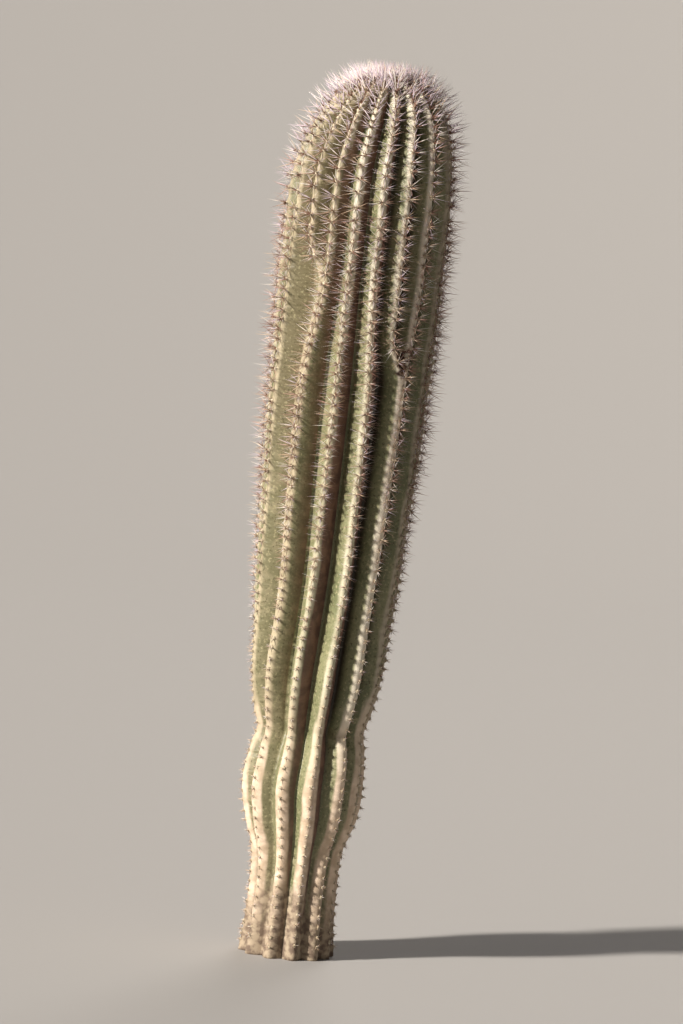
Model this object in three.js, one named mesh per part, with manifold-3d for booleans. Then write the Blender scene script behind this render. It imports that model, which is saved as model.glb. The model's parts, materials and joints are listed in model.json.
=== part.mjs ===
// A young saguaro cactus: one ribbed, club-shaped stem without arms, cut flat at ground level, with a row of
// areoles and spines along the crest of each rib and a felted tuft of spines over the growing tip.
// Millimetres, +Z up. The origin is the middle of the cut. Seen from the front, which is -Y, +X is to the right.
import * as THREE from "three";
import { ParametricGeometry } from "three/addons/geometries/ParametricGeometry.js";
import { mergeVertices } from "three/addons/utils/BufferGeometryUtils.js";
import Module from "manifold-3d";

const wasm = await Module();
wasm.setup();

// Stem: heights, and the radius to the rib crests at each height where the outline turns.
const SHOULDER_HEIGHT = 1740;
const TIP_HEIGHT = 2060;
const CREST_OUTLINE = [
  [0, 113],
  [80, 106],
  [180, 104],
  [250, 110],
  [310, 128],
  [370, 140],
  [430, 142],
  [485, 136],
  [530, 130],
  [575, 139],
  [640, 151],
  [800, 163],
  [1000, 173],
  [1250, 183],
  [1500, 189],
  [SHOULDER_HEIGHT, 190],
];

// The dome over the shoulder is a superellipse. Its levels are counted along the crest, past the shoulder.
const DOME_LENGTH = 400;
const DOME_FULLNESS = 2.3;

// The stem leans to the right, bulges to the left below its waist, and tips over a little at the crown.
const LEAN_DEG = 1.05;
const BULGE = { height: 400, reach: 60, shift: -5 };
const CROWN_TIP_SHIFT = 18;

// Ribs in order round the stem, as degrees from the front towards +X, at the foot, half way up and at the crown.
// A rib with a parent grows out of that rib's side at the level where it splits off.
const RIBS = [
  { foot: -80, middle: -69, crown: -62 },
  { parent: 2, side: -1, splitsAt: 1570, crown: -43 },
  { foot: -51, middle: -36, crown: -25 },
  { foot: -20, middle: -10, crown: -8.5 },
  { foot: 10, middle: 14.5, crown: 9 },
  { parent: 6, side: -1, splitsAt: 1345, crown: 27.5 },
  { foot: 41, middle: 41.5, crown: 47.5 },
  { foot: 67, middle: 67, crown: 71 },
  { foot: 93, middle: 92, crown: 94 },
  { foot: 121, middle: 118, crown: 117 },
  { parent: 11, side: -1, splitsAt: 1180, crown: 139 },
  { foot: 147, middle: 147, crown: 161 },
  { foot: 173, middle: 174, crown: 183 },
  { foot: 199, middle: 201, crown: 206 },
  { parent: 13, side: 1, splitsAt: 950, crown: 228 },
  { foot: 226, middle: 235, crown: 250 },
  { foot: 253, middle: 263, crown: 275 },
];
const SPLIT_RUN = 120;
const UNSPLIT_GAP_DEG = 2.4;
const LOWER_TURN = [500, 950];
const UPPER_TURN = [1300, 1620];
const WANDER_DEG = 0.8;
const WANDER_LENGTH = 170;

// Grooves: a share of the distance between two crests, up to a greatest depth, and shallower in the worn foot.
const GROOVE_SHARE = 0.78;
const DEEPEST_GROOVE = 60;
const FOOT_GROOVE_SHARE = 0.5;
const FOOT_WEAR = [420, 680];
const CREST_ROUNDING = 0.3;

// Where the stem's mesh has vertices: across one groove, from crest to crest, and up the stem.
const ACROSS_GROOVE = [0, 0.14, 0.4, 0.6, 0.86];
const FOOT_LEVELS = [0, 60, 130, 195, 250, 300, 345, 390, 435, 485, 530, 570, 610];
const COLUMN_PITCH = 90;
const DOME_DEGREES = [14, 28, 41, 53, 63, 71, 78, 84];

// Spine rows: a felted strip on the crest, and between its sections one spine straight out or a splayed pair.
const SEAT_GAP = 0.45;
const STRIP_HALF_WIDTH = 5;
const STRIP_TOP_HALF_WIDTH = 4;
const STRIP_HEIGHT = 6;
const SPLIT_ROW_START = 60;
const ROW_END_DEG = 63;
const SPINE_PITCH = 70;
const DOME_SPINE_PITCH = 35;
const SPINE_RADIUS = 3;
const SPINE_ROOT_HEIGHT = 4;
const FOOT_SPINE_LENGTH = 26;
const CROWN_SPINE_LENGTH = 44;
const SPLAY_DEG = 58;
const SPLAYED_SHARE = 0.8;
const SPLAYED_REACH_SHARE = 0.38;

// Tuft: a felt cap over the last rings of the dome, as heights over the skin, with spines on every other facet.
const CAP_HEIGHTS = [5, 8, 10];
const CAP_TIP_HEIGHT = 11;
const CAP_UNDERSIDE = 0.5;
const CAP_SPINE_LENGTH = 38;
const CAP_SPINE_CENTRE_DEPTH = 90;

const COLOURS = { skin: 0x7f7d5a, spines: 0xc4b09c, tuft: 0xdccbc4 };

const radians = THREE.MathUtils.degToRad;
const lerp = THREE.MathUtils.lerp;

function ease(from, to, value) {
  return THREE.MathUtils.smoothstep(value, from, to);
}

// The radius to the crests at a height in the column: a smooth curve through the outline's points.
function crestRadius(height) {
  const points = CREST_OUTLINE;
  const last = points.length - 1;
  let i = 0;
  while (i < last - 1 && height > points[i + 1][0]) i += 1;
  const slope = (a, b) => (points[b][1] - points[a][1]) / (points[b][0] - points[a][0]);
  const before = i > 0 ? (slope(i - 1, i) + slope(i, i + 1)) / 2 : slope(i, i + 1);
  const after = i + 1 < last ? (slope(i, i + 1) + slope(i + 1, i + 2)) / 2 : 0;
  const span = points[i + 1][0] - points[i][0];
  const s = (height - points[i][0]) / span;
  const startWeight = 2 * s ** 3 - 3 * s ** 2 + 1;
  const startSlopeWeight = s ** 3 - 2 * s ** 2 + s;
  const endSlopeWeight = s ** 3 - s ** 2;
  const ends = startWeight * points[i][1] + (1 - startWeight) * points[i + 1][1];
  return ends + span * (startSlopeWeight * before + endSlopeWeight * after);
}

// A level runs up the crest: the height in the column, and the length past the shoulder on the dome.
// The outline there has a radius, a height, and an outward direction in the plane of the two.
function outlineAt(level) {
  if (level <= SHOULDER_HEIGHT) {
    return { radius: crestRadius(level), height: level, out: 1, up: 0 };
  }
  const angle = ((level - SHOULDER_HEIGHT) / DOME_LENGTH) * (Math.PI / 2);
  const power = 2 / DOME_FULLNESS;
  const reach = crestRadius(SHOULDER_HEIGHT);
  const rise = TIP_HEIGHT - SHOULDER_HEIGHT;
  const cosine = Math.max(Math.cos(angle), 0);
  const sine = Math.sin(angle);
  const out = cosine ** (2 - power) / reach;
  const up = sine ** (2 - power) / rise;
  const size = Math.hypot(out, up);
  return {
    radius: reach * cosine ** power,
    height: SHOULDER_HEIGHT + rise * sine ** power,
    out: out / size,
    up: up / size,
  };
}

function domeLevel(degrees) {
  return SHOULDER_HEIGHT + (DOME_LENGTH * degrees) / 90;
}

// The levels of the rings: close together in the foot, evenly spaced up to the shoulder, then over the dome.
function meshLevels() {
  const levels = [...FOOT_LEVELS];
  const footTop = FOOT_LEVELS[FOOT_LEVELS.length - 1];
  const pitches = Math.round((SHOULDER_HEIGHT - footTop) / COLUMN_PITCH);
  for (let k = 1; k <= pitches; k += 1) levels.push(lerp(footTop, SHOULDER_HEIGHT, k / pitches));
  return [...levels, ...DOME_DEGREES.map(domeLevel)];
}

// How far the middle of the stem is to the right of the origin at a height.
function axisShift(height) {
  const lean = height * Math.tan(radians(LEAN_DEG));
  const bulge = BULGE.shift * Math.exp(-(((height - BULGE.height) / BULGE.reach) ** 2));
  const tip = CROWN_TIP_SHIFT * ease(SHOULDER_HEIGHT + 60, TIP_HEIGHT, height);
  return lean + bulge + tip;
}

// The angle of a rib's crest at a level, in degrees from the front.
function ribAngle(index, level) {
  const turns = Math.floor(index / RIBS.length);
  const place = index - turns * RIBS.length;
  const rib = RIBS[place];
  const towardsCrown = ease(...UPPER_TURN, level);
  let angle;
  if (rib.parent === undefined) {
    const lower = lerp(rib.foot, rib.middle, ease(...LOWER_TURN, level));
    const wander = WANDER_DEG * Math.sin(level / WANDER_LENGTH + 2.1 * place);
    angle = lerp(lower + wander, rib.crown, towardsCrown);
  } else {
    const parent = ribAngle(rib.parent, level);
    const halfWay = (parent + ribAngle(rib.parent + 2 * rib.side, level)) / 2;
    const split = ease(rib.splitsAt, rib.splitsAt + SPLIT_RUN, level);
    angle = lerp(parent + rib.side * UNSPLIT_GAP_DEG, lerp(halfWay, rib.crown, towardsCrown), split);
  }
  return angle + 360 * turns;
}

// The depth of the skin below the crests, at a share of the way across the groove that follows a rib.
function grooveDepth(index, share, level) {
  const gap = radians(ribAngle(index + 1, level) - ribAngle(index, level));
  const { radius, height } = outlineAt(level);
  const worn = lerp(FOOT_GROOVE_SHARE, 1, ease(...FOOT_WEAR, height));
  const full = GROOVE_SHARE * worn * gap * radius;
  const opened = ease(radians(UNSPLIT_GAP_DEG * 1.5), radians(UNSPLIT_GAP_DEG * 5), gap);
  const deepest = (opened * full) / (1 + (full / DEEPEST_GROOVE) ** 3) ** (1 / 3);
  const rounded = (side) => Math.hypot(side, CREST_ROUNDING) - CREST_ROUNDING;
  return (deepest * rounded(1 - Math.abs(1 - 2 * share))) / rounded(1);
}

// A point of the skin between a rib and the next one, or above it by a height.
function skinPoint(index, share, level, above = 0) {
  const outline = outlineAt(level);
  const angle = radians(lerp(ribAngle(index, level), ribAngle(index + 1, level), share));
  const inset = grooveDepth(index, share, level) - above;
  const radius = outline.radius - inset * outline.out;
  const x = axisShift(outline.height) + radius * Math.sin(angle);
  return new THREE.Vector3(x, -radius * Math.cos(angle), outline.height - inset * outline.up);
}

// The middle of the dome at its tip, or above it by a height.
function tipPoint(above = 0) {
  return new THREE.Vector3(axisShift(TIP_HEIGHT), 0, TIP_HEIGHT + above);
}

// A closed surface through rings of points. It starts and ends in one point, as a lathed profile does on its axis.
function surfaceThrough(start, rings, end) {
  const around = rings[0].length;
  const stacks = rings.length + 1;
  const place = (u, v, target) => {
    const k = Math.round(v * stacks);
    if (k === 0) target.copy(start);
    else if (k === stacks) target.copy(end);
    else target.copy(rings[k - 1][Math.round(u * around) % around]);
  };
  const geometry = new ParametricGeometry(place, around, stacks);
  geometry.computeVertexNormals();
  return geometry;
}

// A three-sided spine with the middle of its base at a root, pointing in a direction.
function spine(root, direction, length) {
  const geometry = new THREE.ConeGeometry(SPINE_RADIUS, length, 3);
  geometry.translate(0, length / 2, 0);
  geometry.applyQuaternion(new THREE.Quaternion().setFromUnitVectors(THREE.Object3D.DEFAULT_UP, direction));
  geometry.translate(root.x, root.y, root.z);
  return geometry;
}

function solidOf(geometry) {
  const bare = geometry.clone();
  bare.deleteAttribute("normal");
  bare.deleteAttribute("uv");
  const merged = mergeVertices(bare);
  const vertProperties = merged.getAttribute("position").array;
  const triVerts = new Uint32Array(merged.index.array);
  return new wasm.Manifold(new wasm.Mesh({ numProp: 3, vertProperties, triVerts }));
}

// One geometry of several closed ones that run into each other.
function fused(geometries) {
  const solid = geometries.map(solidOf).reduce((sum, next) => sum.add(next));
  const { vertProperties, triVerts } = solid.getMesh();
  const geometry = new THREE.BufferGeometry();
  geometry.setAttribute("position", new THREE.BufferAttribute(vertProperties, 3));
  geometry.setIndex(new THREE.BufferAttribute(triVerts, 1));
  geometry.computeVertexNormals();
  return geometry;
}

function meshOf(name, geometry, color, roughness) {
  const mesh = new THREE.Mesh(geometry, new THREE.MeshStandardMaterial({ color, roughness, metalness: 0 }));
  mesh.name = name;
  return mesh;
}

// The stem: from the middle of the cut over the ribs and grooves to the tip.
function makeStem() {
  const rings = meshLevels().map((level) =>
    RIBS.flatMap((_, index) => ACROSS_GROOVE.map((share) => skinPoint(index, share, level))),
  );
  const cutMiddle = new THREE.Vector3(axisShift(0), 0, 0);
  return meshOf("stem", surfaceThrough(cutMiddle, rings, tipPoint()), COLOURS.skin, 0.6);
}

// The level at which a rib's row of spines starts: just above the ground, or where the rib has split off.
function rowStart(index) {
  const rib = RIBS[(index + RIBS.length) % RIBS.length];
  return rib.parent === undefined ? FOOT_LEVELS[1] : rib.splitsAt + SPLIT_ROW_START;
}

// The distance to the next row on one side at a level, over a rib that has no row yet there.
function rowDistance(index, way, level) {
  const beside = rowStart(index + way) > level ? index + 2 * way : index + way;
  const gap = Math.abs(ribAngle(beside, level) - ribAngle(index, level));
  return radians(gap) * outlineAt(level).radius;
}

// The directions on the crest of a rib at one of the rings: out of the stem, and across the rib.
function crestFrame(index, levels, k) {
  const level = levels[k];
  const along = skinPoint(index, 0, levels[k + 1]).sub(skinPoint(index, 0, levels[k - 1])).normalize();
  const angle = radians(ribAngle(index, level));
  const outline = outlineAt(level);
  const out = new THREE.Vector3(outline.out * Math.sin(angle), -outline.out * Math.cos(angle), outline.up);
  out.addScaledVector(along, -out.dot(along)).normalize();
  return { level, crest: skinPoint(index, 0, level), out, across: along.clone().cross(out) };
}

// A point beside and above a crest.
function besideCrest({ crest, out, across }, side, above) {
  return crest.clone().addScaledVector(across, side).addScaledVector(out, above);
}

// The section of a strip: left foot, left top, right top and right foot.
function stripSection(frame) {
  return [
    besideCrest(frame, -STRIP_HALF_WIDTH, SEAT_GAP),
    besideCrest(frame, -STRIP_TOP_HALF_WIDTH, SEAT_GAP + STRIP_HEIGHT),
    besideCrest(frame, STRIP_TOP_HALF_WIDTH, SEAT_GAP + STRIP_HEIGHT),
    besideCrest(frame, STRIP_HALF_WIDTH, SEAT_GAP),
  ];
}

// The spines half way between two sections of a strip: one straight out, or a pair splayed to both sides.
function spinesBetween(index, below, above, isPair) {
  const level = (below.level + above.level) / 2;
  const length = lerp(FOOT_SPINE_LENGTH, CROWN_SPINE_LENGTH, ease(200, 1500, level));
  const roots = [below, above].map((frame) => besideCrest(frame, 0, SPINE_ROOT_HEIGHT));
  const root = roots[0].add(roots[1]).divideScalar(2);
  const out = below.out.clone().add(above.out).normalize();
  if (!isPair) return [spine(root, out, length)];
  const across = below.across.clone().add(above.across).normalize();
  const splay = radians(SPLAY_DEG);
  return [-1, 1].map((way) => {
    const reach = (SPLAYED_REACH_SHARE * rowDistance(index, way, level)) / Math.sin(splay);
    const direction = out.clone().multiplyScalar(Math.cos(splay)).addScaledVector(across, way * Math.sin(splay));
    return spine(root, direction.normalize(), Math.min(length * SPLAYED_SHARE, reach));
  });
}

// One rib's row of spines, from just above the ground, or from where the rib splits off, to the dome.
function makeSpineRow(index) {
  const levels = meshLevels();
  const first = levels.findIndex((level) => level >= rowStart(index));
  const last = levels.indexOf(domeLevel(ROW_END_DEG));
  const frames = [];
  for (let k = first; k <= last; k += 1) frames.push(crestFrame(index, levels, k));
  const ends = [frames[0], frames[frames.length - 1]].map((frame) => besideCrest(frame, 0, SPINE_ROOT_HEIGHT));
  const pieces = [surfaceThrough(ends[0], frames.map(stripSection), ends[1])];
  let bare = SPINE_PITCH;
  frames.slice(1).forEach((above, k) => {
    const below = frames[k];
    bare += above.crest.distanceTo(below.crest);
    if (bare < (above.level > SHOULDER_HEIGHT ? DOME_SPINE_PITCH : SPINE_PITCH)) return;
    pieces.push(...spinesBetween(index, below, above, (k + index) % 2 === 0));
    bare = 0;
  });
  const number = String(index + 1).padStart(2, "0");
  return meshOf(`spine_row_${number}`, fused(pieces), COLOURS.spines, 0.8);
}

// The crown tuft: a felt cap with corners over the rib crests only, so that it bridges the ends of the grooves.
function makeCrownTuft() {
  const levels = DOME_DEGREES.slice(-CAP_HEIGHTS.length).map(domeLevel);
  const ring = (level, above) => RIBS.map((_, index) => skinPoint(index, 0, level, above));
  const under = levels.map((level) => ring(level, CAP_UNDERSIDE));
  const over = levels.map((level, k) => ring(level, CAP_HEIGHTS[k]));
  const rings = [...under.reverse(), ...over];
  const pieces = [surfaceThrough(tipPoint(CAP_UNDERSIDE), rings, tipPoint(CAP_TIP_HEIGHT))];
  const centre = tipPoint(-CAP_SPINE_CENTRE_DEPTH);
  const depth = CAP_HEIGHTS[0] / 2;
  for (let k = 0; k + 1 < over.length; k += 1) {
    for (let i = k % 2; i + 1 < RIBS.length; i += 2) {
      const corners = [over[k][i], over[k][i + 1], over[k + 1][i], over[k + 1][i + 1]];
      const middle = corners.reduce((sum, corner) => sum.add(corner), new THREE.Vector3()).divideScalar(4);
      const out = middle.clone().sub(centre).normalize();
      pieces.push(spine(middle.addScaledVector(out, -depth), out, CAP_SPINE_LENGTH + depth));
    }
  }
  return meshOf("crown_tuft", fused(pieces), COLOURS.tuft, 0.9);
}

const saguaro = new THREE.Group();
saguaro.add(makeStem());
RIBS.forEach((_, index) => saguaro.add(makeSpineRow(index)));
saguaro.add(makeCrownTuft());

export default saguaro;
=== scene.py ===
import json
import math

import bpy
import numpy as np
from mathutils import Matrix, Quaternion, Vector

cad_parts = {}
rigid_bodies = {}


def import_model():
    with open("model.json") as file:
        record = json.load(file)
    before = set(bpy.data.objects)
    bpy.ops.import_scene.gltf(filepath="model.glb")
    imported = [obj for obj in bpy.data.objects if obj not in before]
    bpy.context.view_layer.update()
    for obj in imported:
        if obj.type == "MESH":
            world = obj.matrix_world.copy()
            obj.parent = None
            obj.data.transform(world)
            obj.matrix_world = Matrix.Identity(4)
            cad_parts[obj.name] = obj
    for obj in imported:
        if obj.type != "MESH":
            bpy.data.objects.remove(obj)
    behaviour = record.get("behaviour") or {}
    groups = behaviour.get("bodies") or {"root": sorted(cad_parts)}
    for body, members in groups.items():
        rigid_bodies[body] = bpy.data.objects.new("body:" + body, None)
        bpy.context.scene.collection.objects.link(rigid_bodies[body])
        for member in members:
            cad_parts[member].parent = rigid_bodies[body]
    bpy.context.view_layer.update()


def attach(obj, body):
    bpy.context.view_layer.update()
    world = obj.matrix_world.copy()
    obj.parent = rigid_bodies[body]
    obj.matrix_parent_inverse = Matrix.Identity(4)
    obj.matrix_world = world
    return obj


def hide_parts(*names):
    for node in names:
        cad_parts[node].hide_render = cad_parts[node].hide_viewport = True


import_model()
rng = np.random.default_rng(3826)

# The stem's shape is the solid's own rule in metres. Levels run up a rib's crest, over the dome too.
SHOULDER = 1.740
TIP = 2.060
CREST_OUTLINE = np.array([
    (0.000, 0.113), (0.080, 0.106), (0.180, 0.104), (0.250, 0.110), (0.310, 0.128), (0.370, 0.140),
    (0.430, 0.142), (0.485, 0.136), (0.530, 0.130), (0.575, 0.139), (0.640, 0.151), (0.800, 0.163),
    (1.000, 0.173), (1.250, 0.183), (1.500, 0.189), (SHOULDER, 0.190),
])
DOME_LENGTH = 0.400
DOME_FULLNESS = 2.3
LEAN = math.radians(1.05)
BULGE_HEIGHT, BULGE_REACH, BULGE_SHIFT = 0.400, 0.060, -0.005
CROWN_TIP_SHIFT = 0.018

# Ribs in order round the stem: degrees from the front towards +X at the foot, half way up and at the crown,
# or the parent, the side of it, the level of the split and the degrees at the crown.
RIBS = [
    {"foot": -80, "middle": -69, "crown": -62},
    {"parent": 2, "side": -1, "splits_at": 1.570, "crown": -43},
    {"foot": -51, "middle": -36, "crown": -25},
    {"foot": -20, "middle": -10, "crown": -8.5},
    {"foot": 10, "middle": 14.5, "crown": 9},
    {"parent": 6, "side": -1, "splits_at": 1.345, "crown": 27.5},
    {"foot": 41, "middle": 41.5, "crown": 47.5},
    {"foot": 67, "middle": 67, "crown": 71},
    {"foot": 93, "middle": 92, "crown": 94},
    {"foot": 121, "middle": 118, "crown": 117},
    {"parent": 11, "side": -1, "splits_at": 1.180, "crown": 139},
    {"foot": 147, "middle": 147, "crown": 161},
    {"foot": 173, "middle": 174, "crown": 183},
    {"foot": 199, "middle": 201, "crown": 206},
    {"parent": 13, "side": 1, "splits_at": 0.950, "crown": 228},
    {"foot": 226, "middle": 235, "crown": 250},
    {"foot": 253, "middle": 263, "crown": 275},
]
SPLIT_RUN = 0.120
UNSPLIT_GAP = 2.4
LOWER_TURN = (0.500, 0.950)
UPPER_TURN = (1.300, 1.620)
WANDER = 0.8
WANDER_LENGTH = 0.170
GROOVE_SHARE = 0.78
DEEPEST_GROOVE = 0.060
FOOT_GROOVE_SHARE = 0.5
FOOT_WEAR = (0.420, 0.680)
CREST_ROUNDING = 0.30
SPLIT_ROW_START = 0.060

# Skin mesh: vertices across one groove, the distance between rings, and how far up the dome the last one is.
ACROSS = 12
RING_PITCH = 0.0046
LAST_DOME_DEGREES = 87

# The side that faces the sun, in degrees from the front towards +X. The key light comes from it. The tones of
# the skin and the spines change round the stem with it, and part of that change is painted light and shade.
SUNNY_SIDE = -56

# Relief of the skin, as heights and lengths, and the groove depth at which the skin's groove field is 1.
MOUND_HEIGHT = 0.0017
MOUND_HALF_WIDTH = 0.013
LUMP_HEIGHT = 0.0012
WRINKLE_HEIGHT = 0.0006
WAIST_LEVEL, WAIST_FOLD_REACH, WAIST_FOLD_DEPTH = 0.530, 0.024, 0.0045
FULL_GROOVE = 0.040

# Dark brown patches: two in the fork of the front rib, one in the groove above the fork that is painted
# shadow, and small corky ones where the skin was hurt. Each has the rib before it, its share of the way to
# the next rib, its level, its half width and its half height.
SCARS_AND_SHADOW = [
    (5, 0.50, 1.400, 0.022, 0.042), (6, 0.06, 1.425, 0.016, 0.030), (5, 0.40, 1.530, 0.010, 0.035),
    (12, 0.30, 0.820, 0.014, 0.022), (8, 0.70, 1.220, 0.010, 0.020), (15, 0.40, 0.460, 0.016, 0.018),
]

# Areoles: their pitch up a crest, which shrinks over the dome, how far they stray from it, the part of a
# pitch by which each row is moved up against the last one, and where the rows start and stop.
AREOLE_PITCH = 0.0235
DOME_PITCH_LOSS = 0.62
AREOLE_STRAY = 0.0012
ROW_STAGGER = 0.39
LOWEST_AREOLE = 0.022
LAST_ROW_DEGREES = 74

# Felt pads, one to an areole. Each ring has its share of the pad's size and of its height.
PAD_HALF_WIDTH, PAD_HALF_LENGTH, PAD_HEIGHT = 0.0050, 0.0062, 0.0030
PAD_SIDES = 10
PAD_RINGS = ((1.0, -0.5), (0.78, 0.55), (0.35, 0.95))

# Spines of an areole: how many there are, the shares of them kept at the foot and up the column, their least
# and most rise off the skin in degrees, length and radius, and limits on how low, long and high they are.
RADIALS = 19
CENTRALS = 8
SPINES_KEPT = (0.30, 0.86)
RADIAL_RISE, RADIAL_LENGTH, RADIAL_RADIUS = (3, 32), (0.027, 0.043), (0.00045, 0.00070)
CENTRAL_RISE, YOUNG_CENTRAL_RISE = (26, 84), (48, 86)
CENTRAL_LENGTH, CENTRAL_RADIUS = (0.030, 0.048), (0.0008, 0.0012)
LOWEST_SPINE_TIP = 0.003
LONGEST_SPINE = 0.046
LONGEST_YOUNG_SPINE = 0.062
HIGHEST_SPINE = TIP + 0.040
SIDEWAYS_CROWDING = 0.28

# Crown: tufts of young spines in a spiral out from the tip, long stiff spines round the rim, and a felt cap.
# Degrees run up the dome to 90 at its tip.
CROWN_TUFTS, CROWN_TUFT_SPINES = 84, 15
CROWN_TUFT_DEGREES = 19
CROWN_RISE, CROWN_LENGTH, CROWN_RADIUS = (20, 86), (0.026, 0.047), (0.0009, 0.0013)
RIM_SPINES = 190
RIM_DEGREES = (56, 80)
RIM_RISE, RIM_LENGTH, RIM_RADIUS = (4, 62), (0.046, 0.066), (0.0011, 0.0015)
RIM_SPREAD = 0.28
CAP_RINGS, CAP_SIDES = 16, 60
CAP_RIM_DEGREES, CAP_FULL_DEGREES, CAP_LAST_DEGREES = 69, 76, 89.2
CAP_RIM_LIFT, CAP_LIFT, CAP_TIP_LIFT = -0.006, 0.0055, 0.0065
CAP_LUMP_HEIGHT = 0.0018

UPRIGHT = np.array([0.0, 0.0, 1.0])


def ease(low, high, value):
    share = np.clip((value - low) / (high - low), 0.0, 1.0)
    return share * share * (3 - 2 * share)


def mix(a, b, share):
    return a + (b - a) * share


def crest_radius(height):
    heights, radii = CREST_OUTLINE.T
    slopes = np.diff(radii) / np.diff(heights)
    knots = np.concatenate([slopes[:1], (slopes[:-1] + slopes[1:]) / 2, [0.0]])
    i = np.clip(np.searchsorted(heights, height) - 1, 0, len(heights) - 2)
    span = heights[i + 1] - heights[i]
    s = (height - heights[i]) / span
    start = 2 * s**3 - 3 * s**2 + 1
    bends = (s**3 - 2 * s**2 + s) * knots[i] + (s**3 - s**2) * knots[i + 1]
    return start * radii[i] + (1 - start) * radii[i + 1] + span * bends


def outline_at(level):
    """The crest outline's radius and height at a level, and the parts out and up of its outward direction."""
    level = np.asarray(level, float)
    on_dome = level > SHOULDER
    angle = np.where(on_dome, (level - SHOULDER) / DOME_LENGTH, 0.0) * (math.pi / 2)
    power = 2 / DOME_FULLNESS
    cosine, sine = np.maximum(np.cos(angle), 0.0), np.sin(angle)
    reach, rise = CREST_OUTLINE[-1][1], TIP - SHOULDER
    out, up = cosine ** (2 - power) / reach, sine ** (2 - power) / rise
    size = np.hypot(out, up)
    radius = np.where(on_dome, reach * cosine**power, crest_radius(np.minimum(level, SHOULDER)))
    height = np.where(on_dome, SHOULDER + rise * sine**power, level)
    return radius, height, np.where(on_dome, out / size, 1.0), np.where(on_dome, up / size, 0.0)


def dome_level(degrees):
    return SHOULDER + DOME_LENGTH * degrees / 90


def axis_shift(height):
    bulge = BULGE_SHIFT * np.exp(-(((height - BULGE_HEIGHT) / BULGE_REACH) ** 2))
    return height * math.tan(LEAN) + bulge + CROWN_TIP_SHIFT * ease(SHOULDER + 0.060, TIP, height)


def rib_angle(index, level):
    """The angle of a rib's crest at a level, in degrees from the front."""
    turns, place = divmod(index, len(RIBS))
    rib = RIBS[place]
    towards_crown = ease(*UPPER_TURN, level)
    if "parent" in rib:
        parent = rib_angle(rib["parent"], level)
        half_way = (parent + rib_angle(rib["parent"] + 2 * rib["side"], level)) / 2
        split = ease(rib["splits_at"], rib["splits_at"] + SPLIT_RUN, level)
        angle = mix(parent + rib["side"] * UNSPLIT_GAP, mix(half_way, rib["crown"], towards_crown), split)
    else:
        lower = mix(rib["foot"], rib["middle"], ease(*LOWER_TURN, level))
        wander = WANDER * np.sin(level / WANDER_LENGTH + 2.1 * place)
        angle = mix(lower + wander, rib["crown"], towards_crown)
    return angle + 360 * turns


def groove_depth(index, share, level):
    gap = np.radians(rib_angle(index + 1, level) - rib_angle(index, level))
    radius, height, _, _ = outline_at(level)
    worn = mix(FOOT_GROOVE_SHARE, 1.0, ease(*FOOT_WEAR, height))
    full = GROOVE_SHARE * worn * gap * radius
    opened = ease(math.radians(UNSPLIT_GAP * 1.5), math.radians(UNSPLIT_GAP * 5), gap)
    deepest = opened * full / (1 + (full / DEEPEST_GROOVE) ** 3) ** (1 / 3)
    side = 1 - np.abs(1 - 2 * share)
    rounded = np.hypot(side, CREST_ROUNDING) - CREST_ROUNDING
    return deepest * rounded / (math.hypot(1, CREST_ROUNDING) - CREST_ROUNDING)


def skin_point(index, share, level, above=0.0):
    """A point of the skin between a rib and the next one, or above it by a height."""
    radius, height, out, up = outline_at(level)
    angle = np.radians(mix(rib_angle(index, level), rib_angle(index + 1, level), share))
    inset = groove_depth(index, share, level) - above
    reach = radius - inset * out
    x = axis_shift(height) + reach * np.sin(angle)
    return np.stack([x, -reach * np.cos(angle), height - inset * up], axis=-1)


def ripples(points, lengths, seed, waves=18):
    """A smooth random field in -1 to 1: the sum of waves with lengths near those given along each axis."""
    draw = np.random.default_rng(seed)
    total = np.zeros(points.shape[:-1])
    for _ in range(waves):
        direction = draw.normal(size=3)
        direction /= np.linalg.norm(direction)
        step = 2 * math.pi * direction / (np.asarray(lengths) * draw.uniform(0.7, 1.5))
        total += np.sin(points @ step + draw.uniform(0, 2 * math.pi))
    return total / math.sqrt(waves)


def areole_count(level):
    """How many areoles a rib has below a level, as a smooth number."""
    column = np.minimum(level, SHOULDER) / AREOLE_PITCH
    share = np.clip((level - SHOULDER) / DOME_LENGTH, 0.0, 1.0)
    rate = DOME_LENGTH / (AREOLE_PITCH * DOME_PITCH_LOSS)
    return column - rate * np.log(1 - DOME_PITCH_LOSS * share)


def level_of_areole(count):
    column = SHOULDER / AREOLE_PITCH
    rate = DOME_LENGTH / (AREOLE_PITCH * DOME_PITCH_LOSS)
    share = (1 - np.exp(-np.maximum(count - column, 0.0) / rate)) / DOME_PITCH_LOSS
    return np.minimum(count, column) * AREOLE_PITCH + share * DOME_LENGTH


def row_phase(index):
    """The part of a pitch by which a rib's areoles are moved up, so that the rows aren't level."""
    return (ROW_STAGGER * (index % len(RIBS))) % 1.0


def row_start(index):
    rib = RIBS[index % len(RIBS)]
    return rib["splits_at"] + SPLIT_ROW_START if "parent" in rib else LOWEST_AREOLE


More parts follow.
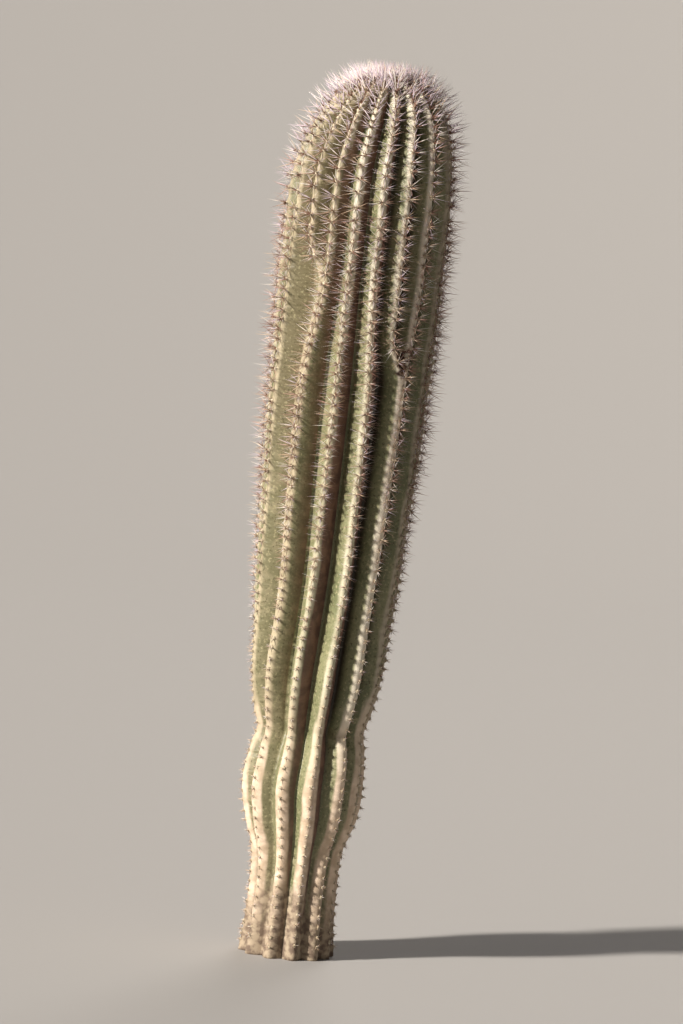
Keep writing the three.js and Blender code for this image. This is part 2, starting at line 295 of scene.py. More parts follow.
def relief(index, share, level):
    """How far the skin stands out of the plain ribs.

    It has mounds under the areoles, lumps, wrinkles and the waist's fold.
    """
    points = skin_point(index, share, level)
    radius = outline_at(level)[0]
    gap = np.radians(rib_angle(index + 1, level) - rib_angle(index, level)) * radius
    height = LUMP_HEIGHT * ripples(points, (0.11, 0.11, 0.16), 11)
    height = height + WRINKLE_HEIGHT * ripples(points, (0.06, 0.06, 0.014), 12)
    for rib, distance in ((index, share * gap), (index + 1, (1 - share) * gap)):
        swell = 0.5 + 0.5 * np.cos(2 * math.pi * (areole_count(level) - row_phase(rib)))
        there = ease(row_start(rib) - 0.04, row_start(rib), level) * ease(0.012, 0.03, gap)
        mound = MOUND_HEIGHT * mix(0.35, 1.0, ease(0.5, 1.2, level))
        height = height + mound * swell * there * np.exp(-((distance / MOUND_HALF_WIDTH) ** 2))
    return height - WAIST_FOLD_DEPTH * waist_fold(points, level)


def waist_fold(points, level):
    """Up to 1 in the crease round the waist, which wanders a little and is deeper in some places."""
    place = WAIST_LEVEL + 0.007 * ripples(points, (0.12, 0.12, 9.0), 13)
    strength = np.clip(0.7 + 0.5 * ripples(points, (0.09, 0.09, 9.0), 14), 0.15, 1.0)
    return strength * np.exp(-(((level - place) / WAIST_FOLD_REACH) ** 2))


def unit(vectors):
    return vectors / np.linalg.norm(vectors, axis=-1, keepdims=True)


def level_direction(turn):
    """The level direction away from the stem's axis, at an angle in radians from the front towards +X."""
    return np.stack([np.sin(turn), -np.cos(turn), np.zeros_like(turn)], axis=-1)


def faces_of(*corners):
    """Faces from the arrays of their first corners, their second corners, and so on."""
    return np.stack(np.broadcast_arrays(*corners), axis=-1)


def ring_quads(rings, sides):
    """The faces between rings of vertices that stand one after another."""
    rows = (np.arange(rings - 1) * sides)[:, None]
    step = np.arange(sides)
    after = (step + 1) % sides
    return faces_of(rows + step, rows + after, rows + sides + after, rows + sides + step)


def piece_from(name, points, polygons, materials, material_index=None):
    """An object made of one smooth mesh. polygons is a list of arrays, one for each number of corners."""
    mesh = bpy.data.meshes.new(name)
    mesh.vertices.add(len(points))
    mesh.vertices.foreach_set("co", np.ascontiguousarray(points, dtype=np.float32).ravel())
    corners = np.concatenate([group.ravel() for group in polygons])
    sizes = np.concatenate([np.full(len(group), group.shape[1]) for group in polygons])
    mesh.loops.add(len(corners))
    mesh.loops.foreach_set("vertex_index", corners.astype(np.int32))
    mesh.polygons.add(len(sizes))
    mesh.polygons.foreach_set("loop_start", (np.cumsum(sizes) - sizes).astype(np.int32))
    for material in materials:
        mesh.materials.append(material)
    if material_index is not None:
        mesh.polygons.foreach_set("material_index", material_index.astype(np.int32))
    mesh.polygons.foreach_set("use_smooth", np.ones(len(sizes), dtype=bool))
    mesh.update(calc_edges=True)
    piece = bpy.data.objects.new(name, mesh)
    bpy.context.scene.collection.objects.link(piece)
    return piece


def linear(red, green, blue):
    """A colour given as 0 to 255 on the screen, as the shader takes it."""
    values = []
    for value in (red, green, blue):
        value /= 255
        values.append(value / 12.92 if value <= 0.04045 else ((value + 0.055) / 1.055) ** 2.4)
    return (*values, 1.0)


def new_material(name, colour, roughness):
    material = bpy.data.materials.new(name)
    material.use_nodes = True
    shader = material.node_tree.nodes["Principled BSDF"]
    shader.inputs["Base Color"].default_value = linear(*colour)
    shader.inputs["Roughness"].default_value = roughness
    return material, shader


class Nodes:
    """Short calls for building a material's nodes."""

    def __init__(self, material):
        self.tree = material.node_tree
        self.coordinates = self.tree.nodes.new("ShaderNodeTexCoord").outputs["Object"]

    def link(self, source, target):
        self.tree.links.new(source, target)

    def attribute(self, name):
        node = self.tree.nodes.new("ShaderNodeAttribute")
        node.attribute_name = name
        return node.outputs["Fac"]

    def stretched(self, scale):
        node = self.tree.nodes.new("ShaderNodeMapping")
        node.inputs["Scale"].default_value = scale
        self.link(self.coordinates, node.inputs["Vector"])
        return node.outputs["Vector"]

    def noise(self, scale, detail, vector=None):
        node = self.tree.nodes.new("ShaderNodeTexNoise")
        node.inputs["Scale"].default_value = scale
        node.inputs["Detail"].default_value = detail
        self.link(vector or self.coordinates, node.inputs["Vector"])
        return node.outputs["Fac"]

    def math(self, operation, a, b):
        node = self.tree.nodes.new("ShaderNodeMath")
        node.operation = operation
        for socket, value in zip(node.inputs, (a, b)):
            if isinstance(value, (int, float)):
                socket.default_value = value
            else:
                self.link(value, socket)
        return node.outputs["Value"]

    def between(self, value, low, high):
        """0 at low and before it, 1 at high and past it, and smooth between. Low may be the larger number."""
        node = self.tree.nodes.new("ShaderNodeMapRange")
        node.interpolation_type = "SMOOTHSTEP"
        node.inputs["From Min"].default_value = low
        node.inputs["From Max"].default_value = high
        self.link(value, node.inputs["Value"])
        return node.outputs["Result"]

    def colours(self, share, a, b):
        node = self.tree.nodes.new("ShaderNodeMix")
        node.data_type = "RGBA"
        self.link(share, node.inputs["Factor"])
        ends = [socket for socket in node.inputs if socket.type == "RGBA"]
        for socket, value in zip(ends, (a, b)):
            if isinstance(value, tuple):
                socket.default_value = linear(*value)
            else:
                self.link(value, socket)
        return next(socket for socket in node.outputs if socket.type == "RGBA")

    def bump(self, height, strength, distance, normal=None):
        node = self.tree.nodes.new("ShaderNodeBump")
        node.inputs["Strength"].default_value = strength
        node.inputs["Distance"].default_value = distance
        self.link(height, node.inputs["Height"])
        if normal is not None:
            self.link(normal, node.inputs["Normal"])
        return node.outputs["Normal"]


def skin_material():
    material, shader = new_material("saguaro_skin", (120, 126, 84), 0.55)
    nodes = Nodes(material)
    crest, groove = nodes.attribute("crest_distance"), nodes.attribute("groove")
    level, scar_and_shadow, fold = nodes.attribute("level"), nodes.attribute("scar_and_shadow"), nodes.attribute("fold")
    shaded, turned = nodes.attribute("shaded"), nodes.attribute("turned_away")
    blotches = nodes.noise(7, 5)
    fine = nodes.noise(38, 5)
    speckle = nodes.noise(170, 3)
    streaks = nodes.noise(34, 5, nodes.stretched((1.0, 1.0, 0.2)))
    # The skin is green, blotched and flecked, and warmer on the side that faces the sun. Higher up on that
    # side it is darker, which is painted shade of the spines.
    skin = nodes.colours(nodes.between(blotches, 0.38, 0.62), (109, 113, 80), (133, 133, 99))
    skin = nodes.colours(nodes.between(fine, 0.50, 0.72), skin, (142, 140, 108))
    sunward_skin = nodes.colours(nodes.between(fine, 0.42, 0.66), (120, 116, 87), (141, 133, 105))
    sunward_skin = nodes.colours(nodes.between(level, 1.05, 1.35), sunward_skin, (122, 114, 87))
    skin = nodes.colours(nodes.between(shaded, 0.07, 0.015), skin, sunward_skin)
    skin = nodes.colours(nodes.between(speckle, 0.56, 0.70), skin, (160, 153, 120))
    skin = nodes.colours(nodes.between(speckle, 0.42, 0.30), skin, (92, 88, 62))
    # Painted shade: flanks that turn away from the sun are browner, less so at the back, and on the side away
    # from the sun the grooves are dark at the bottom.
    brown = nodes.colours(nodes.between(fine, 0.38, 0.62), (100, 75, 66), (124, 95, 82))
    painted_shade_weight = nodes.math("ADD", nodes.math("MULTIPLY", nodes.between(shaded, 0.82, 0.56), 0.8), 0.2)
    skin = nodes.colours(nodes.math("MULTIPLY", nodes.between(turned, 0.34, 0.58), painted_shade_weight), skin, brown)
    painted_groove_shade = nodes.math("MULTIPLY", nodes.between(shaded, 0.22, 0.42), nodes.between(groove, 0.49, 0.99))
    skin = nodes.colours(painted_groove_shade, skin, (54, 46, 35))
    # The crests are paler, with a ragged edge, and corky and broader towards the foot.
    old = nodes.between(nodes.math("ADD", level, nodes.math("MULTIPLY", blotches, 0.3)), 0.85, 0.50)
    half_width = nodes.math("ADD", nodes.math("MULTIPLY", old, 0.007), 0.0095)
    ragged = nodes.math("MULTIPLY", nodes.math("SUBTRACT", streaks, 0.5), 0.016)
    past = nodes.math("SUBTRACT", nodes.math("ADD", crest, ragged), half_width)
    band = nodes.between(past, 0.003, -0.004)
    cork = nodes.colours(nodes.between(fine, 0.36, 0.66), (224, 203, 180), (190, 169, 144))
    pale = nodes.colours(nodes.between(streaks, 0.35, 0.65), (198, 193, 167), (176, 171, 143))
    cool = nodes.colours(nodes.between(streaks, 0.35, 0.65), (208, 202, 184), (184, 178, 158))
    pale = nodes.colours(nodes.between(level, 1.35, 1.70), pale, cool)
    # Crests that face the sun are duller.
    sunward_crest = nodes.colours(nodes.between(streaks, 0.35, 0.65), (182, 170, 142), (161, 149, 121))
    pale = nodes.colours(nodes.between(shaded, 0.02, 0.16), sunward_crest, pale)
    # Painted light: crests round from the front towards the side away from the sun are paler, as if the sun
    # reached them.
    pale = nodes.colours(nodes.between(shaded, 0.36, 0.54), pale, (216, 208, 189))
    # Painted shade: crests further round on the side away from the sun are darker.
    pale = nodes.colours(nodes.between(shaded, 0.66, 0.80), pale, (162, 151, 130))
    colour = nodes.colours(band, skin, nodes.colours(old, pale, cork))
    # There is bark at the ground, a brown crease at the waist, and dark brown patches: scabs, and one painted
    # shadow.
    dusty = nodes.math("ADD", level, nodes.math("MULTIPLY", nodes.noise(14, 5), -0.40))
    ground = nodes.between(dusty, 0.04, -0.15)
    bark = nodes.colours(nodes.between(nodes.noise(60, 6), 0.38, 0.62), (112, 96, 82), (166, 150, 128))
    colour = nodes.colours(ground, colour, bark)
    colour = nodes.colours(nodes.between(fold, 0.45, 1.8), colour, (100, 84, 56))
    scab_and_shadow = nodes.colours(nodes.between(speckle, 0.4, 0.65), (58, 38, 30), (110, 84, 64))
    colour = nodes.colours(nodes.between(scar_and_shadow, 0.30, 0.65), colour, scab_and_shadow)
    nodes.link(colour, shader.inputs["Base Color"])
    # Crests and bark are duller than the waxy skin, and the finest grain and wrinkles are bump.
    dry = nodes.math("MAXIMUM", nodes.math("MULTIPLY", band, 0.6), ground)
    nodes.link(nodes.math("ADD", 0.46, nodes.math("MULTIPLY", dry, 0.42)), shader.inputs["Roughness"])
    normal = nodes.bump(nodes.noise(420, 3), 0.35, 0.0006)
    normal = nodes.bump(nodes.noise(60, 5, nodes.stretched((1.0, 1.0, 3.2))), 0.5, 0.0018, normal)
    nodes.link(normal, shader.inputs["Normal"])
    shader.inputs["Specular IOR Level"].default_value = 0.4
    return material


SPINE_TONES = {
    "spine_cream": (222, 213, 204),
    "spine_rose": (201, 184, 194),
    "spine_straw": (202, 176, 150),
    "spine_pink_brown": (172, 136, 124),
    "spine_grey": (168, 152, 140),
    "spine_brown": (126, 92, 78),
    "spine_root_brown": (136, 102, 86),
    "spine_root_grey": (172, 156, 136),
}
TONE_NAMES = list(SPINE_TONES)
ROOT_TONES = (TONE_NAMES.index("spine_root_brown"), TONE_NAMES.index("spine_root_grey"))
# Shares of the first six tones in the foot, on the column's sunny and shaded sides, and at the crown. The
# browner shares on the shaded side are painted shade.
FOOT_SHARES = np.array([0.20, 0.04, 0.34, 0.04, 0.32, 0.06])
COLUMN_SHARES = np.array([0.20, 0.18, 0.20, 0.24, 0.08, 0.10])
SHADED_SHARES = np.array([0.06, 0.16, 0.10, 0.34, 0.08, 0.26])
CROWN_SHARES = np.array([0.34, 0.58, 0.04, 0.04, 0.00, 0.00])


def spine_materials():
    made = []
    for name, colour in SPINE_TONES.items():
        material, shader = new_material(name, colour, 0.45)
        shader.inputs["Subsurface Weight"].default_value = 0.15
        shader.inputs["Subsurface Radius"].default_value = (0.002, 0.0014, 0.001)
        made.append(material)
    return made


def add_sheen(shader):
    shader.inputs["Sheen Weight"].default_value = 0.4
    shader.inputs["Sheen Roughness"].default_value = 0.6


def crown_felt_material():
    material, shader = new_material("crown_felt", (206, 186, 164), 0.95)
    nodes = Nodes(material)
    tufts = nodes.noise(210, 5)
    colour = nodes.colours(nodes.between(tufts, 0.36, 0.66), (158, 134, 114), (206, 189, 172))
    nodes.link(colour, shader.inputs["Base Color"])
    nodes.link(nodes.bump(tufts, 0.8, 0.0015), shader.inputs["Normal"])
    add_sheen(shader)
    return material


FELT_TONES = {"felt_pale": (200, 188, 162), "felt_grey": (184, 171, 144), "felt_old": (168, 153, 126)}


def felt_materials():
    made = []
    for name, colour in FELT_TONES.items():
        material, shader = new_material(name, colour, 0.95)
        add_sheen(shader)
        made.append(material)
    return made


def make_skin():
    """The skin with its relief, from the cut at the ground to the tip."""
    rings = int(round(dome_level(LAST_DOME_DEGREES) / RING_PITCH))
    levels = np.linspace(0.0, dome_level(LAST_DOME_DEGREES), rings + 1)
    shares = np.arange(ACROSS) / ACROSS
    level, share = levels[:, None], shares[None, :]
    count = len(RIBS) * ACROSS
    points, crest, groove = [], [], []
    for index in range(len(RIBS)):
        points.append(skin_point(index, share, level, relief(index, share, level)))
        gap = np.radians(rib_angle(index + 1, level) - rib_angle(index, level)) * outline_at(level)[0]
        crest.append(np.minimum(share, 1 - share) * gap)
        groove.append(groove_depth(index, share, level) / FULL_GROOVE)
    grid = np.concatenate(points, axis=1)
    grid[0, :, 2] = 0.0
    _, tip_height, _, _ = outline_at(dome_level(90))
    ends = np.array([[0.0, 0.0, 0.0], [float(axis_shift(tip_height)), 0.0, float(tip_height)]])
    flat = np.concatenate([grid.reshape(-1, 3), ends])
    ring = np.arange(count)
    following = (ring + 1) % count
    quads = ring_quads(rings + 1, count)
    top = rings * count
    foot_fan = faces_of(len(flat) - 2, following, ring)
    tip_fan = faces_of(len(flat) - 1, top + ring, top + following)
    skin = piece_from("skin", flat, [quads.reshape(-1, 4), foot_fan, tip_fan], [skin_material()])
    lay_out_skin(skin.data, quads.shape[:2], flat)
    height = np.repeat(level, count, axis=1)
    fields = {
        "crest_distance": (np.concatenate(crest, axis=1), (0.05, 0.0)),
        "groove": (np.concatenate(groove, axis=1), (0.0, 1.0)),
        "level": (height, (0.0, TIP)),
        "fold": (waist_fold(grid, height), (0.0, 0.0)),
        "scar_and_shadow": (scars_and_shadow(grid), (0.0, 0.0)),
        "shaded": (shaded_side(grid[..., 0] - axis_shift(grid[..., 2]), grid[..., 1]), (0.5, 0.5)),
        "turned_away": (turned_away(grid), (0.5, 0.5)),
    }
    for name, (values, end_values) in fields.items():
        attribute = skin.data.attributes.new(name, "FLOAT", "POINT")
        attribute.data.foreach_set("value", np.concatenate([values.ravel(), end_values]).astype(np.float32))
    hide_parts("stem")
    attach(skin, "root")


def lay_out_skin(mesh, grid_size, points):
    """The skin's UV layer: the stem unrolled, with the foot's flat face and the tip in a strip below it."""
    rings, count = grid_size
    strip, disc = 0.08, 0.035
    row, column = np.meshgrid(np.arange(rings), np.arange(count), indexing="ij")
    u = np.stack([column, column + 1, column + 1, column], axis=-1) / count
    v = strip + (1 - strip) * np.stack([row, row, row + 1, row + 1], axis=-1) / rings
    stem = np.stack([u, v], axis=-1).reshape(-1, 2)
    ring = np.arange(count)
    following = (ring + 1) % count
    top = rings * count
    discs = [(-2, following, ring, 0.04), (-1, top + ring, top + following, 0.14)]
    ends = []
    for middle, first, second, place in discs:
        flat = points[:, :2] - points[middle, :2]
        size = np.abs(flat[first]).max()
        corners = np.stack([np.zeros_like(flat[first]), flat[first], flat[second]], axis=1)
        ends.append((corners / size * disc + (place, 0.04)).reshape(-1, 2))
    layer = mesh.uv_layers.new(name="UVMap")
    layer.data.foreach_set("uv", np.concatenate([stem, *ends]).astype(np.float32).ravel())


def shaded_side(x, y):
    """0 on the sunny side of the stem and 1 opposite, by the direction from its middle."""
    turn = math.radians(SUNNY_SIDE)
    return 0.5 - 0.5 * (x * math.sin(turn) - y * math.cos(turn)) / np.maximum(np.hypot(x, y), 1e-6)


def turned_away(grid):
    """0 where the skin faces the sun's side and 1 where it faces the other way."""
    turn = math.radians(SUNNY_SIDE)
    around = np.roll(grid, -1, axis=1) - np.roll(grid, 1, axis=1)
    outward = unit(np.cross(around, np.gradient(grid, axis=0)))
    return 0.5 - 0.5 * (outward[..., 0] * math.sin(turn) - outward[..., 1] * math.cos(turn))


def scars_and_shadow(grid):
    """1 in the middle of a dark patch, and 0 outside all of them."""
    total = np.zeros(grid.shape[:-1])
    wobble = ripples(grid, (0.02, 0.02, 0.02), 21)
    for index, share, level, width, height in SCARS_AND_SHADOW:
        middle = skin_point(index, share, level)
        sideways = np.linalg.norm((grid - middle)[..., :2], axis=-1) / width
        along = (grid - middle)[..., 2] / height
        total = np.maximum(total, 1.25 - np.hypot(sideways, along) + 0.3 * wobble)
    return np.clip(total, 0.0, 1.0)


def areoles_of(index):
    """The places and directions of one rib's areoles: level, point, out, along and across."""
    first = math.ceil(float(areole_count(row_start(index))) - row_phase(index))
    last = math.floor(float(areole_count(dome_level(LAST_ROW_DEGREES))) - row_phase(index))
    level = level_of_areole(np.arange(first, last + 1) + row_phase(index))
    level = level + rng.normal(0.0, AREOLE_STRAY, len(level))
    point = skin_point(index, 0.0, level, relief(index, 0.0, level))
    along = unit(skin_point(index, 0.0, level + 0.003) - skin_point(index, 0.0, level - 0.003))
    angle = np.radians(rib_angle(index, level))
    _, _, out_share, up_share = outline_at(level)
    out = np.stack([out_share * np.sin(angle), -out_share * np.cos(angle), up_share], axis=-1)
    out = unit(out - along * np.sum(out * along, axis=-1, keepdims=True))
    return level, point, out, along, np.cross(along, out)


def spines_at(level, point, out, along, across):
    """Roots, directions, lengths, radii and tones of the spines on a row of areoles."""
    parts = []
    vigour = mix(0.30, 1.0, ease(0.55, 1.40, level))
    young = ease(SHOULDER - 0.05, dome_level(62), level)
    for kind, number in (("radial", RADIALS), ("central", CENTRALS)):
        shape = (len(level), number)
        turn = 2 * math.pi * (np.arange(number) + rng.uniform(-0.35, 0.35, shape)) / number
        turn -= SIDEWAYS_CROWDING * np.sin(2 * turn)
        if kind == "radial":
            rise = np.radians(rng.uniform(*RADIAL_RISE, shape))
            length = rng.uniform(*RADIAL_LENGTH, shape) * (0.50 + 0.60 * np.abs(np.cos(turn)))
            length *= mix(1.0, 0.5, young)[:, None]
            thick = rng.uniform(*RADIAL_RADIUS, shape)
        else:
            rises = rng.uniform(*CENTRAL_RISE, shape), rng.uniform(*YOUNG_CENTRAL_RISE, shape)
            rise = np.radians(mix(*rises, young[:, None]))
            length = rng.uniform(*CENTRAL_LENGTH, shape) * mix(1.0, 1.25, young)[:, None]
            thick = rng.uniform(*CENTRAL_RADIUS, shape)
        sideways = np.cos(rise)[..., None] * (
            np.cos(turn)[..., None] * across[:, None] + np.sin(turn)[..., None] * along[:, None]
        )
        direction = sideways + np.sin(rise)[..., None] * out[:, None]
        direction = unit(direction + (0.12 * young)[:, None, None] * along[:, None])
        longest = mix(LONGEST_SPINE, LONGEST_YOUNG_SPINE, young)[:, None]
        length = np.minimum(length * (vigour + 0.15 * young)[:, None], longest)
        thick = thick * mix(1.0, 1.35, young)[:, None]
        spread = 0.45 if kind == "radial" else 0.25
        root = point[:, None] + out[:, None] * 0.0012 + PAD_HALF_WIDTH * spread * unit(sideways)
        share_kept = mix(*SPINES_KEPT, ease(0.50, 1.25, level))
        kept = rng.uniform(size=shape) < (share_kept * mix(1.0, 0.4, young))[:, None]
        tone = tones_for(level, shaded_side(point[:, 0] - axis_shift(point[:, 2]), point[:, 1]), shape)
        parts.append([array[kept] for array in (root, direction, length, thick, tone)])
    root, direction, length, thick, tone = [np.concatenate(column) for column in zip(*parts)]
    standing = (root + direction * length[:, None])[:, 2] > LOWEST_SPINE_TIP
    return root[standing], direction[standing], length[standing], thick[standing], tone[standing]


def tones_for(level, shaded, shape):
    """A tone for each spine: an areole leans to one tone, as its spines are of one age."""
    crown, column = ease(SHOULDER - 0.10, dome_level(60), level), ease(0.35, 1.10, level)
    # Painted shade: spines on the side away from the sun lean to browner tones.
    sides = mix(COLUMN_SHARES, SHADED_SHARES, ease(0.45, 0.95, shaded)[:, None])
    shares = mix(mix(FOOT_SHARES, sides, column[:, None]), CROWN_SHARES, crown[:, None])
    edges = np.cumsum(shares, axis=1)
    own = (rng.uniform(size=len(level))[:, None] > edges).sum(axis=1)
    each = (rng.uniform(size=shape)[..., None] > edges[:, None]).sum(axis=-1)
    same = rng.uniform(size=shape) < 0.35
    return np.clip(np.where(same, own[:, None], each), 0, len(FOOT_SHARES) - 1)


def spine_piece(name, root, direction, length, thick, tone, materials):
    """One mesh of three-sided spines with darker roots and a slight bend."""
    number = len(root)
    rise = np.maximum(direction[:, 2], 0.05)
    length = np.minimum(length, np.maximum((HIGHEST_SPINE - root[:, 2]) / rise, 0.010))
    side = unit(np.cross(direction, rng.normal(size=(number, 3))))
    other = np.cross(direction, side)
    bend = side * (length * rng.uniform(0.0, 0.10, number))[:, None]
    turn = 2 * math.pi * np.arange(3) / 3
    ring = np.cos(turn)[None, :, None] * side[:, None] + np.sin(turn)[None, :, None] * other[:, None]
    low = root[:, None] + ring * thick[:, None, None]
    break_at = rng.uniform(0.14, 0.32, number)
    middle = root + direction * (length * break_at)[:, None] + bend * 0.25
    high = middle[:, None] + ring * (thick * 0.85)[:, None, None]
    tip = (root + direction * length[:, None] + bend)[:, None]
    points = np.concatenate([low, high, tip], axis=1).reshape(-1, 3)
    per_spine = 7
    start = (np.arange(number) * per_spine)[:, None]
    step = np.arange(3)
    after = (step + 1) % 3
    quads = faces_of(start + step, start + after, start + 3 + after, start + 3 + step).reshape(-1, 4)
    tips = faces_of(start + 3 + step, start + 3 + after, start + 6).reshape(-1, 3)
    brown = 0.65 * ease(0.7, 1.3, root[:, 2])
    root_tone = np.where(rng.uniform(size=number) < brown, ROOT_TONES[0], ROOT_TONES[1])
    index = np.concatenate([np.repeat(root_tone, 3), np.repeat(tone, 3)])
    return piece_from(name, points, [quads, tips], materials, index)


def pad_piece(name, frames, materials):
    """The felt pads: low oval domes, each sunk a little into its crest."""
    level, point, out, along, across = [np.concatenate(column) for column in zip(*frames)]
    number, sides = len(level), PAD_SIDES
    turn = 2 * math.pi * np.arange(sides) / sides
    size = rng.uniform(0.85, 1.15, number) * mix(0.75, 1.0, ease(0.4, 1.1, level))
    size *= mix(1.0, 0.8, ease(SHOULDER, dome_level(70), level))
    uneven = rng.uniform(0.85, 1.15, (number, 3, sides))
    rings = []
    for k, (reach, lift) in enumerate(PAD_RINGS):
        wide = PAD_HALF_WIDTH * reach * size[:, None] * uneven[:, k] * np.cos(turn)
        long = PAD_HALF_LENGTH * reach * size[:, None] * uneven[:, k] * np.sin(turn)
        lifted = (out * (PAD_HEIGHT * lift * size)[:, None])[:, None]
        flat = wide[..., None] * across[:, None] + long[..., None] * along[:, None]
        rings.append(point[:, None] + flat + lifted)
    top = (point + out * (PAD_HEIGHT * 1.05 * size)[:, None])[:, None]
    points = np.concatenate([*rings, top], axis=1).reshape(-1, 3)
    per_pad = 3 * sides + 1
    start = (np.arange(number) * per_pad)[:, None]
    step = np.arange(sides)
    after = (step + 1) % sides
    lower, middle, upper = start, start + sides, start + 2 * sides
    quads = np.concatenate([
        faces_of(lower + step, lower + after, middle + after, middle + step),
        faces_of(middle + step, middle + after, upper + after, upper + step),
    ], axis=1)
    fans = faces_of(upper + step, upper + after, upper + sides)
    age = mix(1.6, 0.2, ease(0.25, 1.7, level)) + rng.uniform(-0.6, 0.6, number)
    tone = np.clip(np.round(age), 0, 2).astype(int)
    index = np.concatenate([np.repeat(tone, 2 * sides), np.repeat(tone, sides)])
    pads = piece_from(name, points, [quads.reshape(-1, 4), fans.reshape(-1, 3)], materials, index)
    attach(pads, "root")


def make_rows(materials, felts):
    frames = []
    for index in range(len(RIBS)):
        row = areoles_of(index)
        frames.append(row)
        spines = spine_piece(f"spines_{index + 1:02d}", *spines_at(*row), materials)
        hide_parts(f"spine_row_{index + 1:02d}")
        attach(spines, "root")
    pad_piece("areole_felt", frames, felts)


def make_crown(materials):
    """The crown: crowded young spines in a spiral, long ones round the rim, and the felt cap under them."""
    number, each = CROWN_TUFTS, CROWN_TUFT_SPINES
    golden = math.pi * (3 - math.sqrt(5))
    k = np.arange(number)
    degrees = 90 - CROWN_TUFT_DEGREES * np.sqrt((k + 0.5) / number)
    turn = k * golden
    radius, height, out_share, up_share = outline_at(dome_level(degrees))
    away = level_direction(turn)
    middle = np.stack([axis_shift(height), np.zeros_like(height), height], axis=-1)
    point = middle + away * radius[:, None]
    out = away * out_share[:, None] + UPRIGHT * up_share[:, None]
    along = unit(UPRIGHT * out_share[:, None] - away * up_share[:, None])
    across = np.cross(along, out)
    point = point + out * 0.004
    shape = (number, each)
    spin = 2 * math.pi * (np.arange(each) + rng.uniform(-0.4, 0.4, shape)) / each
    rise = np.radians(rng.uniform(*CROWN_RISE, shape))
    length = rng.uniform(*CROWN_LENGTH, shape)
    sideways = np.cos(spin)[..., None] * across[:, None] + np.sin(spin)[..., None] * along[:, None]
    direction = unit(np.cos(rise)[..., None] * sideways + np.sin(rise)[..., None] * out[:, None])
    root = point[:, None] + sideways * 0.002
    thick = rng.uniform(*CROWN_RADIUS, shape)
    tone = tones_for(np.full(number, dome_level(80)), np.full(number, 0.5), shape)
    tufts = [array.reshape(-1, *array.shape[2:]) for array in (root, direction, length, thick, tone)]
    spines = [np.concatenate(both) for both in zip(tufts, rim_spines())]
    crown = spine_piece("crown_spines", *spines, materials)
    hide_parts("crown_tuft")
    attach(crown, "root")
    felt_cap()


def rim_spines():
    """Long stiff spines round the crown's rim, standing outwards and up."""
    number = RIM_SPINES
    turn = rng.uniform(0, 2 * math.pi, number)
    radius, height, _, _ = outline_at(dome_level(rng.uniform(*RIM_DEGREES, number)))
    away = level_direction(turn)
    root = away * (radius * 0.985)[:, None] + UPRIGHT * height[:, None]
    root[:, 0] += axis_shift(height)
    rise = np.radians(rng.uniform(*RIM_RISE, number))
    aside = rng.normal(0.0, RIM_SPREAD, number)[:, None] * level_direction(turn + math.pi / 2)
    direction = unit(away * np.cos(rise)[:, None] + UPRIGHT * np.sin(rise)[:, None] + aside)
    length = rng.uniform(*RIM_LENGTH, number)
    thick = rng.uniform(*RIM_RADIUS, number)
    tone = tones_for(np.full(number, dome_level(85)), np.full(number, 0.5), (number, 1))[:, 0]
    return root, direction, length, thick, tone


def felt_cap():
    """A lumpy felt skin over the tip, with its rim sunk between the ribs."""
    rings, sides = CAP_RINGS, CAP_SIDES
    degrees = np.linspace(CAP_RIM_DEGREES, CAP_LAST_DEGREES, rings)[:, None]
    turn = 2 * math.pi * np.arange(sides)[None, :] / sides
    radius, height, out_share, up_share = outline_at(dome_level(degrees))
    lift = mix(CAP_RIM_LIFT, CAP_LIFT, ease(CAP_RIM_DEGREES, CAP_FULL_DEGREES, degrees))
    away = level_direction(turn)
    middle = np.stack([axis_shift(height), np.zeros_like(height), height], axis=-1)
    out = away * out_share[..., None] + UPRIGHT * up_share[..., None]
    points = middle + away * radius[..., None] + out * lift[..., None]
    lumps = CAP_LUMP_HEIGHT * ripples(points, (0.016, 0.016, 0.016), 31)
    flat = (points + out * lumps[..., None]).reshape(-1, 3)
    tip = np.array([[float(axis_shift(TIP)), 0.0, TIP + CAP_TIP_LIFT]])
    last = (rings - 1) * sides
    step = np.arange(sides)
    fan = faces_of(last + step, last + (step + 1) % sides, len(flat))
    faces = [ring_quads(rings, sides).reshape(-1, 4), fan]
    cap = piece_from("crown_felt", np.concatenate([flat, tip]), faces, [crown_felt_material()])
    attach(cap, "root")


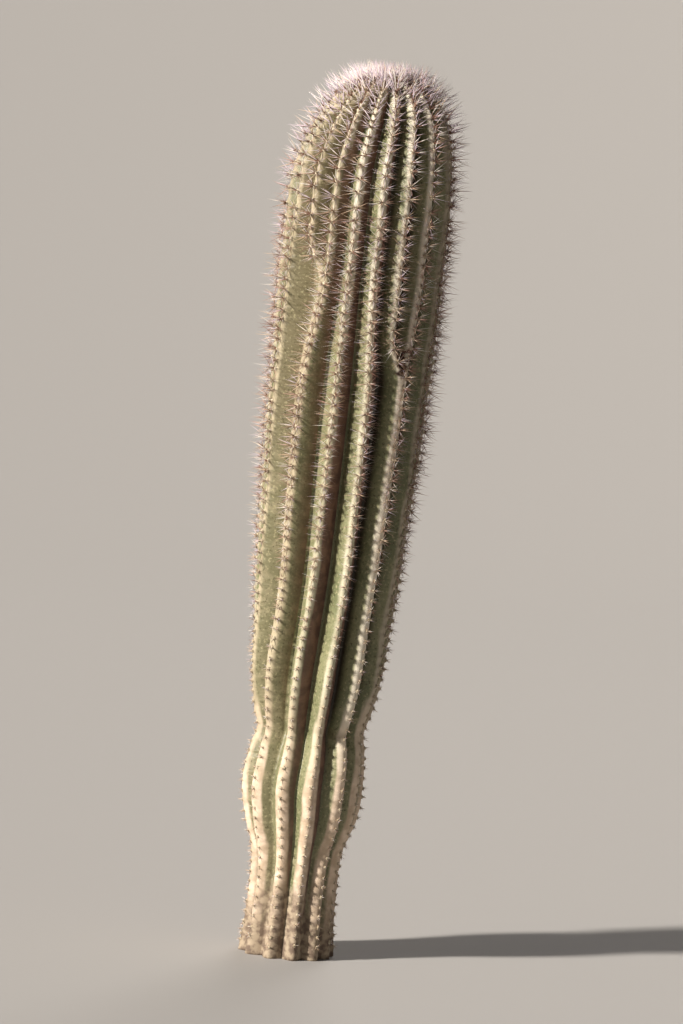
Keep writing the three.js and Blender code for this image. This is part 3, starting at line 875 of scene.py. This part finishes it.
def make_stage():
    """A pale floor that rises gently far out, like a wide dish, so that no edge shows from any side."""
    flat_radius, dish_width, dish_height = 10.0, 36.0, 10.0
    profile = [(flat_radius + dish_width * t, dish_height * t**1.5) for t in np.linspace(0.0, 1.0, 20)]
    sides = 120
    turn = 2 * math.pi * np.arange(sides) / sides
    points = [[(r * math.sin(t), -r * math.cos(t), z) for t in turn] for r, z in profile]
    flat = np.concatenate([np.array(points).reshape(-1, 3), [[0.0, 0.0, 0.0]]])
    step = np.arange(sides)
    fan = faces_of((step + 1) % sides, step, len(flat) - 1)
    faces = [ring_quads(len(profile), sides).reshape(-1, 4), fan]
    material, _ = new_material("studio_floor", (160, 158, 156), 0.9)
    floor = piece_from("studio_floor", flat, faces, [material])


def sun_light(name, azimuth, elevation, strength, softness, colour):
    """A distant light. Its azimuth is in degrees from the front towards +X."""
    light = bpy.data.lights.new(name, "SUN")
    light.energy = strength
    light.angle = math.radians(softness)
    light.color = colour
    turn, rise = math.radians(azimuth), math.radians(elevation)
    towards = Vector((math.sin(turn) * math.cos(rise), -math.cos(turn) * math.cos(rise), math.sin(rise)))
    lamp = bpy.data.objects.new(name, light)
    lamp.location = towards * 12
    lamp.rotation_mode = "QUATERNION"
    lamp.rotation_quaternion = (-towards).to_track_quat("-Z", "Y")
    bpy.context.scene.collection.objects.link(lamp)


def make_lights():
    """A warm, low and soft key from the left, a weaker fill from behind, and a dim pale surround."""
    sun_light("key", SUNNY_SIDE, elevation=29, strength=6.95, softness=4, colour=(1.0, 0.93, 0.85))
    sun_light("back_fill", 168, elevation=14, strength=2.4, softness=30, colour=(1.0, 0.94, 0.88))
    world = bpy.data.worlds.new("surround")
    world.use_nodes = True
    background = world.node_tree.nodes["Background"]
    background.inputs["Color"].default_value = (1.0, 0.93, 0.97, 1.0)
    background.inputs["Strength"].default_value = 0.045
    bpy.context.scene.world = world
    bpy.context.scene.view_settings.view_transform = "Standard"


def make_camera():
    """The photograph's place: eye height, 8.1 m away, with the frame turned as its lens turned the plant."""
    eye = Vector((0.02, -8.1, 1.5))
    target = Vector((0.035, 0.0, 1.045))
    roll = math.radians(5.4)
    camera_data = bpy.data.cameras.new("camera")
    camera_data.lens = 122
    camera_data.sensor_width = 36
    camera = bpy.data.objects.new("camera", camera_data)
    camera.location = eye
    camera.rotation_mode = "QUATERNION"
    camera.rotation_quaternion = (target - eye).to_track_quat("-Z", "Y") @ Quaternion((0, 0, 1), roll)
    bpy.context.scene.collection.objects.link(camera)
    bpy.context.scene.camera = camera


make_camera()
make_lights()
make_stage()
make_skin()
spine_tones = spine_materials()
felt_tones = felt_materials()
make_rows(spine_tones, felt_tones)
make_crown(spine_tones)
